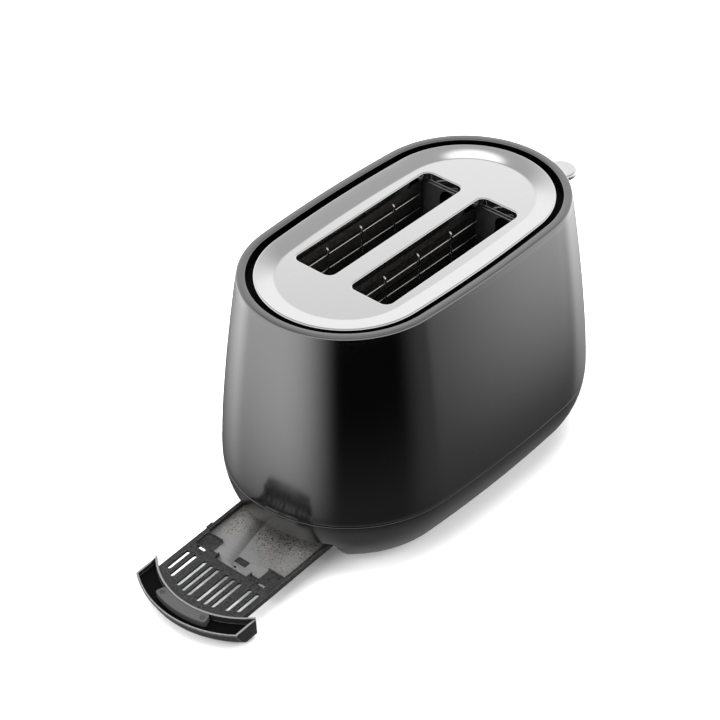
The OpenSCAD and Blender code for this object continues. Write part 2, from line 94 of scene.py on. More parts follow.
PLATE_R = (plate_hi.x - plate_lo.x) / 2 - END_C
PLATE_Z = plate_hi.z
PLATE_DISH = 3.3 * MM
PLATE_BAND = 14.5 * MM
SLOT_L, SLOT_W, SLOT_R = 145 * MM, 35.3 * MM, 6 * MM
SLOT_Y = 26.1 * MM          # from the middle to the centre line of each bread slot

PANEL_W = panel_hi.y - panel_lo.y
PANEL_H = panel_hi.z - panel_lo.z
PANEL_Z = (panel_hi.z + panel_lo.z) / 2
PANEL_R = 8 * MM
PANEL_PROUD = 1 * MM        # how far the panel's face stands out of the body's wall
PANEL_GAP = 0.3 * MM        # clearance round the panel in the shell and the base

TRAY_TILT = math.radians(3.5)
TRAY_X, TRAY_Z = MID_X - 135 * MM, 22 * MM      # where the tray's own x and height are 0, at rest
FASCIA_C = -34.48 * MM      # centre of the front piece's arcs, along the tray
WELL_H = -3.2 * MM          # floor of the front piece's well, from the tray's top
PAD_R = 73.9 * MM           # radius of the grey pad's middle line
PAD_TOP = WELL_H + 5.2 * MM


def body_r(z):
    """End radius of the body at a height: a bowl up to the belly, then a slow taper to the rim."""
    if z < BELLY_Z:
        r = BELLY_R - (BELLY_R - FOOT_R) * ((BELLY_Z - z) / (BELLY_Z - BASE_Z)) ** 2.25
    else:
        r = BELLY_R - (BELLY_R - RIM_R) * ((z - BELLY_Z) / (RIM_Z - BELLY_Z)) ** 1.4
    return r - SKIN


def oval_stations(n_end=80, n_side=24):
    """Places round the oval: a point on its centre line and the outward direction there."""
    places = []
    for sign in (1, -1):
        for i in range(n_end):
            a = (-math.pi / 2 + SIDE_TURN) + (math.pi - 2 * SIDE_TURN) * i / n_end
            places.append((sign * END_C, 0, sign * math.cos(a), sign * math.sin(a)))
        for i in range(n_side):
            a = (math.pi / 2 - SIDE_TURN) + 2 * SIDE_TURN * i / n_side
            nx, ny = sign * math.cos(a), sign * math.sin(a)
            places.append((SIDE_R0 * nx, SIDE_R0 * ny - sign * SIDE_D, nx, ny))
    return places


def oval(r, z, **counts):
    """The oval with this end radius, at a height."""
    return [Vector((MID_X + px + r * nx, py + r * ny, z)) for px, py, nx, ny in oval_stations(**counts)]


# ---- mesh helpers ----

def new_object(name, bm, smooth=35):
    bmesh.ops.recalc_face_normals(bm, faces=bm.faces)
    mesh = bpy.data.meshes.new(name)
    bm.to_mesh(mesh)
    bm.free()
    obj = bpy.data.objects.new(name, mesh)
    bpy.context.scene.collection.objects.link(obj)
    shade(obj, smooth)
    return obj


def shade(obj, angle=35):
    for face in obj.data.polygons:
        face.use_smooth = True
    obj.data.set_sharp_from_angle(angle=math.radians(angle))


def ring_of(bm, points):
    return [bm.verts.new(p) for p in points]


def bridge(bm, a, b):
    n = len(a)
    for i in range(n):
        bm.faces.new((a[i], a[(i + 1) % n], b[(i + 1) % n], b[i]))


def loft(name, rings, smooth=35, capped=False):
    """Joins rings of equal length; the last joins the first unless the ends are capped."""
    bm = bmesh.new()
    loops = [ring_of(bm, r) for r in rings]
    for a, b in zip(loops, loops[1:]):
        bridge(bm, a, b)
    if capped:
        bm.faces.new(loops[0])
        bm.faces.new(loops[-1])
    else:
        bridge(bm, loops[-1], loops[0])
    return new_object(name, bm, smooth)


def oval_solid(name, profile, **counts):
    """Carries a closed outline (r, z) round the oval."""
    return loft(name, [oval(r, z, **counts) for r, z in profile])


def arc(cr, cz, radius, start, end, n=6):
    """Points of an arc in an (r, z) outline; angles in degrees, 0 outward, 90 up."""
    angles = [math.radians(start + (end - start) * i / n) for i in range(n + 1)]
    return [(cr + radius * math.cos(a), cz + radius * math.sin(a)) for a in angles]


def wall(z0, z1, n, inset=0.0):
    """The body's wall between two heights as an (r, z) outline."""
    heights = [z0 + (z1 - z0) * i / n for i in range(n + 1)]
    return [(body_r(z) - inset, z) for z in heights]


def baked(obj):
    """Applies the object's modifiers."""
    bpy.context.view_layer.update()
    graph = bpy.context.evaluated_depsgraph_get()
    mesh = bpy.data.meshes.new_from_object(obj.evaluated_get(graph))
    obj.modifiers.clear()
    obj.data = mesh
    return obj


def combine(obj, cutter, operation="DIFFERENCE"):
    mod = obj.modifiers.new("combine", "BOOLEAN")
    mod.operation = operation
    mod.object = cutter
    mod.solver = "EXACT"
    baked(obj)
    bpy.data.objects.remove(cutter)
    shade(obj)
    return obj


def round_rect(w, h, r, n=6):
    """Corner-rounded rectangle about (0, 0), anticlockwise."""
    points = []
    for cx, cy, start in ((1, 1, 0), (-1, 1, 90), (-1, -1, 180), (1, -1, 270)):
        for i in range(n + 1):
            a = math.radians(start + 90 * i / n)
            points.append((cx * (w / 2 - r) + r * math.cos(a), cy * (h / 2 - r) + r * math.sin(a)))
    return points


def x_prism(name, outline, x0, x1):
    """Bar along X whose outline is in (y, z)."""
    return loft(name, [[Vector((x, y, z)) for y, z in outline] for x in (x0, x1)], capped=True)


def lathe_x(name, profile, x0, y, z, n=64, wave=None):
    """Solid of revolution about X: profile is (x from x0, radius), first and last radius 0."""
    bm = bmesh.new()
    first = bm.verts.new((x0 + profile[0][0], y, z))
    last = bm.verts.new((x0 + profile[-1][0], y, z))
    loops = []
    for dx, r in profile[1:-1]:
        loop = []
        for i in range(n):
            a = 2 * math.pi * i / n
            rr = r * (1 + wave(a, dx)) if wave else r
            loop.append(bm.verts.new((x0 + dx, y + rr * math.cos(a), z + rr * math.sin(a))))
        loops.append(loop)
    for a, b in zip(loops, loops[1:]):
        bridge(bm, a, b)
    for centre, loop in ((first, loops[0]), (last, loops[-1])):
        for i in range(n):
            bm.faces.new((centre, loop[i], loop[(i + 1) % n]))
    return new_object(name, bm, 40)


def hole_bar(name, x0, y, z, r, length):
    """A round bar along X, for cutting a hole."""
    return lathe_x(name, [(0, 0), (0, r), (length, r), (length, 0)], x0, y, z, 48)


def refined(node, name, bevel, segments=2, angle=35, looks=()):
    """A copy of a CAD node's mesh with its edges broken by a small round, which may have its own look."""
    source = frame["nodes"][node]
    bm = bmesh.new()
    bm.from_mesh(source.data)
    bmesh.ops.remove_doubles(bm, verts=bm.verts, dist=2e-6)
    bmesh.ops.dissolve_limit(bm, angle_limit=math.radians(0.4), verts=bm.verts, edges=bm.edges)
    obj = new_object(name, bm, angle)
    obj.data.materials.clear()
    for look in looks:
        obj.data.materials.append(look)
    mod = obj.modifiers.new("edge", "BEVEL")
    mod.width = bevel
    mod.segments = segments
    mod.limit_method = "ANGLE"
    mod.angle_limit = math.radians(angle)
    mod.use_clamp_overlap = True
    mod.material = len(looks) - 1
    baked(obj)
    shade(obj, 50)
    return obj


def tube(bm, points, radius, sides=10):
    """A round wire along a path, closed at both ends."""
    path = [Vector(p) for p in points]
    loops = []
    side = None
    for i, p in enumerate(path):
        ahead = path[min(i + 1, len(path) - 1)] - path[max(i - 1, 0)]
        ahead.normalize()
        if side is None:
            side = ahead.orthogonal().normalized()
        else:
            side = (side - ahead * side.dot(ahead)).normalized()
        other = ahead.cross(side)
        loops.append([bm.verts.new(p + radius * (math.cos(a) * side + math.sin(a) * other))
                      for a in (2 * math.pi * k / sides for k in range(sides))])
    for a, b in zip(loops, loops[1:]):
        bridge(bm, a, b)
    bm.faces.new(loops[0])
    bm.faces.new(loops[-1])


# ---- materials ----

def map_range(tree, source, from_range, to_range=(0, 1), curve="LINEAR"):
    """Maps one range of a value onto another, and holds it at the ends."""
    node = tree.nodes.new("ShaderNodeMapRange")
    node.interpolation_type = curve
    node.inputs["From Min"].default_value, node.inputs["From Max"].default_value = from_range
    node.inputs["To Min"].default_value, node.inputs["To Max"].default_value = to_range
    tree.links.new(source, node.inputs["Value"])
    return node.outputs["Result"]


def math_node(tree, operation, a, b):
    """A Math node; each input is a number or another node's output."""
    node = tree.nodes.new("ShaderNodeMath")
    node.operation = operation
    for i, value in enumerate((a, b)):
        if isinstance(value, (int, float)):
            node.inputs[i].default_value = value
        else:
            tree.links.new(value, node.inputs[i])
    return node.outputs[0]


def noise_of(tree, scale, stretch=(1, 1, 1), detail=4.0):
    """Fine noise in the object's own metres, finer along the axes that are stretched more."""
    coords = tree.nodes.new("ShaderNodeTexCoord")
    mapping = tree.nodes.new("ShaderNodeMapping")
    mapping.inputs["Scale"].default_value = stretch
    tree.links.new(coords.outputs["Object"], mapping.inputs["Vector"])
    tex = tree.nodes.new("ShaderNodeTexNoise")
    tex.inputs["Scale"].default_value = scale
    tex.inputs["Detail"].default_value = detail
    tex.inputs["Roughness"].default_value = 0.55
    tree.links.new(mapping.outputs["Vector"], tex.inputs["Vector"])
    return tex.outputs["Fac"]


def tint(tree, source, dark, light):
    """A colour between dark and light."""
    ramp = tree.nodes.new("ShaderNodeValToRGB")
    ramp.color_ramp.elements[0].position = 0.3
    ramp.color_ramp.elements[1].position = 0.7
    ramp.color_ramp.elements[0].color = (*dark, 1)
    ramp.color_ramp.elements[1].color = (*light, 1)
    tree.links.new(source, ramp.inputs["Fac"])
    return ramp.outputs["Color"]


def bump_from(tree, source, distance):
    node = tree.nodes.new("ShaderNodeBump")
    node.inputs["Distance"].default_value = distance
    node.inputs["Strength"].default_value = 1.0
    tree.links.new(source, node.inputs["Height"])
    return node.outputs["Normal"]


def material(name, dark, light, rough, metallic=0.0, scale=400.0, stretch=(1, 1, 1),
             bump=0.0, sheen=0.5, detail=4.0):
    """Principled surface whose colour, roughness and bump vary with one noise."""
    mat = bpy.data.materials.new(name)
    mat.use_nodes = True
    tree = mat.node_tree
    shader = tree.nodes["Principled BSDF"]
    shader.inputs["Metallic"].default_value = metallic
    shader.inputs["Specular IOR Level"].default_value = sheen
    grain = noise_of(tree, scale, stretch, detail)
    tree.links.new(tint(tree, grain, dark, light), shader.inputs["Base Color"])
    tree.links.new(map_range(tree, grain, (0.25, 0.75), rough), shader.inputs["Roughness"])
    if bump:
        tree.links.new(bump_from(tree, grain, bump), shader.inputs["Normal"])
    return mat


def grey(v):
    return (v, v, v)


BRUSH_X = (1, 40, 40)

gunmetal = material("gunmetal", (0.242, 0.242, 0.245), (0.256, 0.256, 0.26), (0.13, 0.16), metallic=1.0,
                    scale=900, bump=0.000001)
plate_steel = material("plate_steel", grey(0.78), grey(0.81), (0.08, 0.11), metallic=1.0,
                       scale=90, stretch=BRUSH_X, bump=0.0000005)
# Near-zero black: partly the collar's own black plastic, partly painted shade in the deep gap between rim and
# plate.
collar_black = material("collar_black", grey(0.001), grey(0.003), (0.6, 0.7), scale=500, sheen=0.12)
base_black = material("base_black", grey(0.21), grey(0.235), (0.17, 0.22), metallic=1.0,
                      scale=1100, bump=0.000002)
panel_black = material("panel_black", grey(0.008), grey(0.011), (0.1, 0.16), scale=300)
rubber_black = material("rubber_black", grey(0.015), grey(0.03), (0.7, 0.85), scale=1200, bump=0.00003)
guide_plastic = material("guide_plastic", grey(0.02), grey(0.03), (0.45, 0.6), scale=900, bump=0.00001)
chamber_steel = material("chamber_steel", grey(0.035), grey(0.13), (0.26, 0.42), metallic=1.0,
                         scale=45, stretch=(3, 1, 1), bump=0.00002)
zinc = material("zinc", grey(0.42), grey(0.56), (0.3, 0.5), metallic=1.0, scale=120, bump=0.00001)
mica = material("mica", (0.010, 0.0095, 0.009), (0.03, 0.028, 0.026), (0.4, 0.6), scale=300, bump=0.00002)
ribbon = material("ribbon", (0.09, 0.085, 0.08), (0.17, 0.16, 0.15), (0.4, 0.6), metallic=1.0, scale=200)
wire_steel = material("wire_steel", grey(0.6), grey(0.75), (0.12, 0.24), metallic=1.0, scale=250)
ground_steel = material("ground_steel", grey(0.6), grey(0.7), (0.12, 0.2), metallic=1.0, scale=400)
iron = material("iron", grey(0.16), grey(0.24), (0.45, 0.65), metallic=1.0, scale=300, bump=0.00002)
copper = material("copper", (0.5, 0.2, 0.09), (0.7, 0.32, 0.15), (0.2, 0.34), metallic=1.0, scale=60,
                  stretch=(1, 1, 30), bump=0.00006)
board_green = material("board_green", (0.004, 0.035, 0.014), (0.008, 0.055, 0.022), (0.25, 0.4), scale=250)
switch_black = material("switch_black", grey(0.015), grey(0.025), (0.4, 0.55), scale=700)
terminal_cream = material("terminal_cream", (0.5, 0.46, 0.36), (0.6, 0.56, 0.45), (0.4, 0.55), scale=500)
lever_silver = material("lever_silver", grey(0.8), grey(0.85), (0.14, 0.2), metallic=1.0, scale=80,
                        stretch=(4, 30, 30), bump=0.000003)
tray_black = material("tray_black", grey(0.001), grey(0.032), (0.4, 0.6), scale=800, bump=0.00006, sheen=0.22)
fascia_black = material("fascia_black", grey(0.008), grey(0.016), (0.35, 0.45), scale=1200, bump=0.00001,
                        sheen=0.3)
# Painted shade: near-black for the floor of the front piece's well, where shade falls.
well_painted_shade = material("well_painted_shade", grey(0.001), grey(0.002), (0.5, 0.6), scale=1200, sheen=0.05)
# Painted highlight: pale grey for the tray frame's rounded edges, standing for the light they catch.
painted_edge_highlight = material("painted_edge_highlight", grey(0.08), grey(0.22), (0.3, 0.45), scale=900)
frame_steel = material("frame_steel", grey(0.1), grey(0.2), (0.3, 0.45), metallic=0.8, scale=60, bump=0.00002)
# Painted highlight: lighter grey for the tops of the front piece's lips and for its rounded edges.
lip_painted_highlight = material("lip_painted_highlight", grey(0.1), grey(0.15), (0.3, 0.4), scale=600)
mark_grey = material("mark_grey", grey(0.015), grey(0.035), (0.5, 0.68), scale=1500, bump=0.00004)
grip_grey = material("grip_grey", grey(0.03), grey(0.055), (0.5, 0.68), scale=1500, bump=0.00004)
dial_black = material("dial_black", grey(0.014), grey(0.02), (0.3, 0.42), scale=900, bump=0.00001)
mark_white = material("mark_white", grey(0.7), grey(0.78), (0.45, 0.55), scale=900)


CRUMB_COLOURS = ((0.0, (0.03, 0.02, 0.012)), (0.25, (0.42, 0.33, 0.24)), (0.45, (0.12, 0.14, 0.06)),
                 (0.58, (0.34, 0.2, 0.15)), (0.72, (0.55, 0.5, 0.44)), (0.88, (0.1, 0.05, 0.02)))


def crumb_steel():
    """Brushed steel floor with patches of fine crumbs, more of them near the body."""
    mat = material("tray_steel", grey(0.3), grey(0.35), (0.5, 0.58), metallic=0.85, scale=45,
                   stretch=(30, 1, 30), bump=0.000002)
    tree = mat.node_tree
    shader = tree.nodes["Principled BSDF"]
    steel_colour = shader.inputs["Base Color"].links[0].from_socket
    coords = tree.nodes.new("ShaderNodeTexCoord")
    split = tree.nodes.new("ShaderNodeSeparateXYZ")
    tree.links.new(coords.outputs["Object"], split.inputs["Vector"])
    cells = tree.nodes.new("ShaderNodeTexVoronoi")
    cells.inputs["Scale"].default_value = 760
    tree.links.new(coords.outputs["Object"], cells.inputs["Vector"])
    near_body = map_range(tree, split.outputs["X"], (MID_X - 184 * MM, MID_X - 150 * MM))
    specks = map_range(tree, cells.outputs["Distance"], (0.46, 0.36))
    patches = map_range(tree, noise_of(tree, 45, detail=3), (0.4, 0.5))
    amount = math_node(tree, "MULTIPLY", math_node(tree, "MULTIPLY", specks, patches), near_body)
    pick = tree.nodes.new("ShaderNodeSeparateColor")
    tree.links.new(cells.outputs["Color"], pick.inputs["Color"])
    kinds = tree.nodes.new("ShaderNodeValToRGB")
    kinds.color_ramp.interpolation = "CONSTANT"
    while len(kinds.color_ramp.elements) < len(CRUMB_COLOURS):
        kinds.color_ramp.elements.new(0.5)
    for element, (position, colour) in zip(kinds.color_ramp.elements, CRUMB_COLOURS):
        element.position = position
        element.color = (*colour, 1)
    tree.links.new(pick.outputs["Red"], kinds.inputs["Fac"])
    mixed = tree.nodes.new("ShaderNodeMix")
    mixed.data_type = "RGBA"
    tree.links.new(amount, mixed.inputs["Factor"])
    tree.links.new(steel_colour, mixed.inputs[6])
    tree.links.new(kinds.outputs["Color"], mixed.inputs[7])
    tree.links.new(mixed.outputs[2], shader.inputs["Base Color"])
    return mat


tray_steel = crumb_steel()


def dress(obj, mat, body, slot, *nodes):
    """Gives a piece its material, its body and the CAD nodes it stands for; the slot is not used."""
    if not obj.data.materials:
        obj.data.materials.append(mat)
    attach(obj, body)
    if nodes:
        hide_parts(*nodes)
    return obj


BUTTONS = ("cancel", "defrost", "reheat")


# ---- housing ----

def make_shell():
    """Pressed wall with a rounded top edge, a turned-in rim and a rounded foot at the seam."""
    edge = 1.6 * MM
    inner_edge = 0.8 * MM
    rim_in = RIM_R - RIM_W
    lip = 6 * MM
    foot = 0.9 * MM
    z0 = SEAM_Z + 0.6 * MM
    profile = arc(body_r(z0) - foot, z0 + foot, foot, -90, 0, 4)
    profile += wall(z0 + foot, RIM_Z - edge, 60)[1:-1]
    profile += arc(RIM_R - edge, RIM_Z - edge, edge, 0, 90, 8)
    profile += arc(rim_in + inner_edge, RIM_Z - inner_edge, inner_edge, 90, 180, 5)
    profile += [(rim_in, RIM_Z - lip), (rim_in + inner_edge, RIM_Z - lip),
                (rim_in + inner_edge, RIM_Z - SHELL_T), (RIM_R - SHELL_T - 1 * MM, RIM_Z - SHELL_T)]
    profile += wall(RIM_Z - SHELL_T - 1 * MM, z0, 20, SHELL_T)
    shell = oval_solid("shell", profile)
    combine(shell, panel_bar("shell_window", PANEL_GAP))
    return dress(shell, gunmetal, "housing", "shell_paint", "outer_shell")


def panel_bar(name, grow):
    """A bar through the lever end with the panel's outline, grown all round."""
    outline = round_rect(PANEL_W + 2 * grow, PANEL_H + 2 * grow, PANEL_R + grow)
    return x_prism(name, [(y, PANEL_Z + z) for y, z in outline], MID_X + 0.100, MID_X + 0.180)


def make_base():
    """Bowl with a tongue inside the shell, the tray's mouth, the panel's window and the cord's hole."""
    t = 2.5 * MM
    lip_r = 68 * MM
    foot = 1.6 * MM
    tongue_r = body_r(SEAM_Z) - SHELL_T - 0.4 * MM
    tongue_in = tongue_r - 2 * MM
    tongue_h = 5 * MM
    top = 0.3 * MM
    profile = [(body_r(BASE_Z) - foot, BASE_Z), (body_r(BASE_Z) - foot * 0.3, BASE_Z + 0.35 * MM)]
    profile += wall(BASE_Z + foot, SEAM_Z - top, 40)
    profile += arc(body_r(SEAM_Z) - top, SEAM_Z - top, top, 30, 90, 3)
    profile += [(tongue_r, SEAM_Z), (tongue_r, SEAM_Z + tongue_h),
                (tongue_in, SEAM_Z + tongue_h), (tongue_in, SEAM_Z - 3 * MM)]
    profile += wall(SEAM_Z - 4 * MM, BASE_Z + t, 10, t)
    profile += [(lip_r, BASE_Z + t), (lip_r, BASE_Z)]
    base = oval_solid("base", profile)
    mouth_w = 99.6 * MM
    mouth_z = 32 * MM
    corner = 3 * MM
    arch = [(y, z + mouth_z / 2 - corner) for y, z in round_rect(mouth_w, mouth_z + 2 * corner, corner)]
    combine(base, x_prism("mouth", arch, MID_X - 200 * MM, MID_X - 95 * MM))
    combine(base, panel_bar("base_window", PANEL_GAP))
    gland_lo, gland_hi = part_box("cord_gland")
    y, z = (gland_lo.y + gland_hi.y) / 2, (gland_lo.z + gland_hi.z) / 2
    combine(base, hole_bar("gland_hole", gland_lo.x, y, z, 8.8 * MM, 30 * MM))
    return dress(base, base_black, "housing", "base_black", "base_housing")


def make_collar():
    """Black trough between the rim and the top plate; its near-zero black is partly the plastic's own colour
    and partly painted shade in the deep gap.
    """
    inner = 60 * MM
    outer = RIM_R - RIM_W + 3 * MM
    floor_z = RIM_Z - 14 * MM
    inner_z = 200 * MM
    inner_t, outer_t, floor_t = 2 * MM, 1.8 * MM, 2 * MM
    round_r = 1.5 * MM
    bend_z = floor_z + floor_t + round_r
    profile = [(inner, floor_z), (outer, floor_z), (outer, RIM_Z - SHELL_T),
               (outer - outer_t, RIM_Z - SHELL_T)]
    profile += arc(outer - outer_t - round_r, bend_z, round_r, 0, -90, 4)
    profile += arc(inner + inner_t + round_r, bend_z, round_r, -90, -180, 4)
    profile += [(inner + inner_t, inner_z), (inner, inner_z)]
    return dress(oval_solid("collar", profile), collar_black, "housing", "collar_black", "vent_collar")


def slot_loop(side, grow, z):
    """A bread slot's outline, grown all round, at a height."""
    outline = round_rect(SLOT_L + 2 * grow, SLOT_W + 2 * grow, SLOT_R + grow, 8)
    return [Vector((MID_X + x, side * SLOT_Y + y, z)) for x, y in outline]


def fill_between(bm, loops):
    """Fills the flat area between an outer loop and the loops inside it."""
    edges = []
    for loop in loops:
        n = len(loop)
        for i in range(n):
            pair = (loop[i], loop[(i + 1) % n])
            edges.append(bm.edges.get(pair) or bm.edges.new(pair))
    bmesh.ops.triangle_fill(bm, use_beauty=True, use_dissolve=False, edges=edges)


def make_plate():
    """Pressed plate: rolled outer edge, sloped band, flat middle, turned-down slot edges."""
    t = 1.0 * MM
    flat_z = PLATE_Z - PLATE_DISH
    in_r = PLATE_R - t - PLATE_BAND
    roll = 1.4 * MM
    skirt = 6 * MM
    skirt_t = 0.6 * MM
    ease = 0.9 * MM
    hold = 0.5 * MM
    band_out = PLATE_R - roll
    slope = PLATE_DISH / (band_out - in_r - ease)
    top = [(in_r - hold, flat_z)]
    for i in range(7):
        u = i / 6
        top.append((in_r + 2 * ease * u, flat_z + slope * 2 * ease * u * u / 2))
    top.append((band_out, PLATE_Z - 0.02 * MM))
    top += arc(PLATE_R - roll, PLATE_Z - roll, roll, 80, 0, 7)
    top += [(PLATE_R, PLATE_Z - skirt)]
    under = [(PLATE_R - skirt_t, PLATE_Z - skirt), (PLATE_R - skirt_t, PLATE_Z - roll - t),
             (band_out, PLATE_Z - t - 0.4 * MM), (in_r + 2 * ease, flat_z - t + slope * ease),
             (in_r, flat_z - t)]
    bm = bmesh.new()
    rims = [ring_of(bm, oval(r, z)) for r, z in top + under]
    for a, b in zip(rims, rims[1:]):
        bridge(bm, a, b)
    top_loops, under_loops = [rims[0]], [rims[-1]]
    fall = 5.6 * MM
    lip = 0.9 * MM
    for side in (1, -1):
        outline = [(lip + hold, 0)]
        outline += [(lip - lip * math.sin(a), -lip + lip * math.cos(a))
                    for a in (math.radians(15 * i) for i in range(7))]
        outline += [(0, -fall), (skirt_t, -fall), (skirt_t, -t - 0.4 * MM), (lip, -t)]
        loops = [ring_of(bm, slot_loop(side, grow, flat_z + dz)) for grow, dz in outline]
        for a, b in zip(loops, loops[1:]):
            bridge(bm, a, b)
        top_loops.append(loops[0])
        under_loops.append(loops[-1])
    fill_between(bm, top_loops)
    fill_between(bm, under_loops)
    plate = new_object("plate", bm, 40)
    return dress(plate, plate_steel, "housing", "plate_steel", "top_plate")


def make_panel():
    """Gloss strip at the lever end, following the body's wall."""
    back = 3 * MM
    spare = 3 * MM
    lever_w, lever_h = 6 * MM, 89 * MM
    over_lever = 2 * MM
    behind = MID_X + 130 * MM
    reach = 50 * MM
    z0, z1 = panel_lo.z - spare, panel_hi.z + spare
    profile = wall(z0, z1, 50, -PANEL_PROUD) + wall(z1, z0, 12, back)
    panel = oval_solid("panel", profile)
    combine(panel, panel_bar("panel_window", 0), "INTERSECT")
    lever_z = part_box("lever_knob")[1].z + over_lever - lever_h / 2
    outline = [(y, lever_z + z) for y, z in round_rect(lever_w, lever_h, 2.9 * MM)]
    combine(panel, x_prism("lever_slot", outline, behind, behind + reach))
    holes = [("browning_dial", 4.5 * MM)]
    holes += [(button + "_button", 5.3 * MM) for button in BUTTONS]
    for node, r in holes:
        lo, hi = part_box(node)
        combine(panel, hole_bar("hole", behind, (lo.y + hi.y) / 2, (lo.z + hi.z) / 2, r, reach))
    return dress(panel, panel_black, "housing", "panel_black", "control_panel")


def panel_face(y, z):
    """X of the panel's face at a place."""
    return MID_X + END_C + math.sqrt((body_r(z) + PANEL_PROUD) ** 2 - y * y)


def make_dial_marks():
    """Painted ticks round the dial, longer at each end."""
    bm = bmesh.new()
    lo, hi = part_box("browning_dial")
    cz = (lo.z + hi.z) / 2
    dial_r = (hi.z - lo.z) / 2
    count = 7
    sweep = 130
    for k in range(count):
        a = math.radians(90 + sweep - 2 * sweep * k / (count - 1))
        inner = dial_r + 2 * MM
        outer = inner + (3.2 if k in (0, count - 1) else 2.2) * MM
        half = 0.35 * MM
        across = Vector((0, -math.sin(a), math.cos(a)))
        verts = []
        for r, s in ((inner, -1), (inner, 1), (outer, 1), (outer, -1)):
            p = Vector((0, r * math.cos(a), cz + r * math.sin(a))) + across * half * s
            p.x = panel_face(p.y, p.z)
            verts.append(p)
        low = [bm.verts.new(p - Vector((0.3 * MM, 0, 0))) for p in verts]
        high = [bm.verts.new(p + Vector((0.06 * MM, 0, 0))) for p in verts]
        bridge(bm, low, high)
        bm.faces.new(low)
        bm.faces.new(high)
    marks = new_object("dial_marks", bm)
    return dress(marks, mark_white, "housing", "panel_black")


def make_ledges():
    """Folded strip across each end of both slots, in two steps under the plate's turned-down edge."""
    bm = bmesh.new()
    top = PLATE_Z - PLATE_DISH - 7.2 * MM
    half = 16.8 * MM
    for side in (1, -1):
        for end in (1, -1):
            for out, drop in ((74.3 * MM, 0), (73.7 * MM, 2.2 * MM)):
                outline = [(MID_X + end * (out + x), top - drop + z)
                           for x, z in round_rect(3.0 * MM, 1.2 * MM, 0.45 * MM, 3)]
                rings = [ring_of(bm, [Vector((x, side * SLOT_Y + y, z)) for x, z in outline])
                         for y in (-half, half)]
                bridge(bm, *rings)
                for ring in rings:
                    bm.faces.new(ring)
    return dress(new_object("slot_ledges", bm), zinc, "housing", "chamber_steel")


def make_guard(node, y, towards):
    """Grid of welded wires: a pivot bar, long bars, and three uprights whose tops bend away from the bread."""
    lo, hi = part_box(node)
    r = 0.8 * MM
    pivot_z = 64 * MM
    bm = bmesh.new()
    tube(bm, [(lo.x, y, pivot_z), (hi.x, y, pivot_z)], r)
    for z in (84, 105, 126, 148, 171, 183.5):
        tube(bm, [(MID_X - 66 * MM, y, z * MM), (MID_X + 66 * MM, y, z * MM)], r)
    top = hi.z - r
    bend = 3.0 * MM
    yu = y + towards * 1.4 * MM
    for dx in (-36, 0, 36):
        x = MID_X + dx * MM
        path = [(x, yu, pivot_z - 1.5 * MM), (x, yu, pivot_z + 60 * MM), (x, yu, top - bend)]
        for i in range(1, 6):
            a = math.radians(70 * i / 5)
            path.append((x, yu - towards * bend * (1 - math.cos(a)), top - bend + bend * math.sin(a)))
        tube(bm, path, r)
    wires = new_object(node.replace("guard", "wires"), bm, 50)
    return dress(wires, wire_steel, node + "_body", "wire_steel", node)


def make_spring():
    """Coil spring at its rest length."""
    lo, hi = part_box("return_spring")
    turns, r, wire = 9, 4 * MM, 0.5 * MM
    cx = (lo.x + hi.x) / 2
    steps = turns * 20
    path = []
    for i in range(steps + 1):
        a = 2 * math.pi * turns * i / steps
        z = lo.z + wire + (hi.z - lo.z - 2 * wire) * i / steps
        path.append((cx + r * math.cos(a), r * math.sin(a), z))
    bm = bmesh.new()
    tube(bm, path, wire, 8)
    return dress(new_object("lift_spring", bm, 50), ground_steel, "housing", "spring_steel", "return_spring")


# ---- lever, controls and tray ----

def make_lever():
    """Rounded tongue: a disc with a waisted neck, its edges well rounded, on a small socket."""
    lo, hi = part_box("lever_knob")
    tip_r = (hi.y - lo.y) / 2
    tip_x = hi.x - tip_r
    t = 4.6 * MM
    neck = 8.5 * MM
    turn = 118
    n = 40
    outline = []
    for i in range(n + 1):
        a = math.radians(-turn + 2 * turn * i / n)
        outline.append((tip_x + tip_r * math.cos(a), tip_r * math.sin(a)))
    x1, y1 = outline[-1]
    back = []
    for i in range(1, 9):
        u = i / 8
        back.append((x1 + (lo.x - x1) * u, y1 + (neck - y1) * (3 * u * u - 2 * u ** 3)))
    outline += back + [(x, -y) for x, y in reversed(back)]
    top = hi.z
    edge = 1.7 * MM
    face_in = 2.4 * MM
    turns = [math.radians(a) for a in (0, 20, 40, 60, 80, 90)]
    steps = [(face_in, -t)]
    steps += [(edge * (1 - math.sin(a)), -t + edge * (1 - math.cos(a))) for a in turns]
    steps += [(edge * (1 - math.cos(a)), -edge * (1 - math.sin(a))) for a in turns]
    steps += [(face_in, 0.0)]
    bm = bmesh.new()
    loops = []
    count = len(outline)
    for inset, dz in steps:
        loop = []
        for i, (x, y) in enumerate(outline):
            ax, ay = outline[i - 1]
            bx, by = outline[(i + 1) % count]
            d = Vector((bx - ax, by - ay))
            d.normalize()
            loop.append(bm.verts.new((x - d.y * inset, y + d.x * inset, top + dz)))
        loops.append(loop)
    for a, b in zip(loops, loops[1:]):
        bridge(bm, a, b)
    bm.faces.new(loops[0])
    bm.faces.new(loops[-1])
    socket = [(y, top - t - 1.7 * MM + z) for y, z in round_rect(8 * MM, 4.6 * MM, 1 * MM)]
    ends = [ring_of(bm, [Vector((x, y, z)) for y, z in socket]) for x in (lo.x, lo.x + 12 * MM)]
    bridge(bm, *ends)
    for end in ends:
        bm.faces.new(end)
    tongue = new_object("lever_tongue", bm, 45)
    return dress(tongue, lever_silver, "carriage", "lever_silver", "lever_knob")


